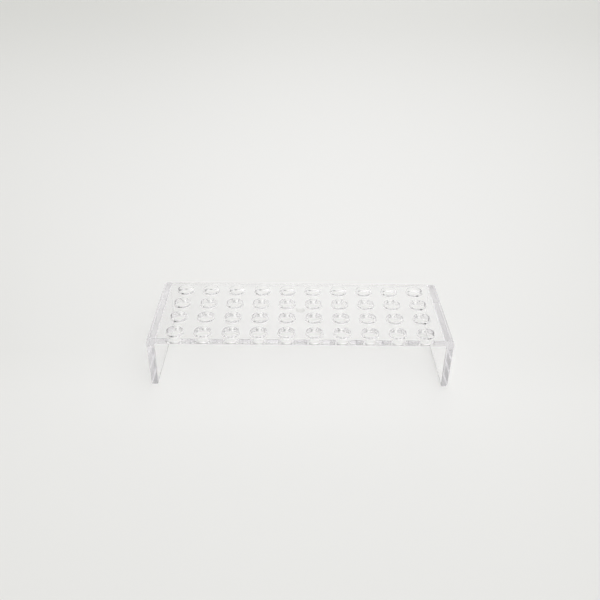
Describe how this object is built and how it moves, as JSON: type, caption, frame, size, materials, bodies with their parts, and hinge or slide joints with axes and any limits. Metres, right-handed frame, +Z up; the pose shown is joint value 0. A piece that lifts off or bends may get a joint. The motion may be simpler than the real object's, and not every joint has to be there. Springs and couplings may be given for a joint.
{
  "type": "microcentrifuge tube rack",
  "caption": "Clear acrylic bench rack: a flat deck on two end legs, pierced by a regular grid of round wells that hold microcentrifuge tubes by their flanges.",
  "frame": {"origin": "on the bench, under the middle of the rack", "axes": "+X along the rack's length, +Y from the front edge to the back edge, +Z up"},
  "size_m": [0.2068, 0.077, 0.0378],
  "materials": {
    "clear_acrylic": "clear, colourless, polished as moulded, refractive index 1.49"
  },
  "bodies": {
    "root": {"rack": "clear_acrylic"}
  },
  "joints": []
}
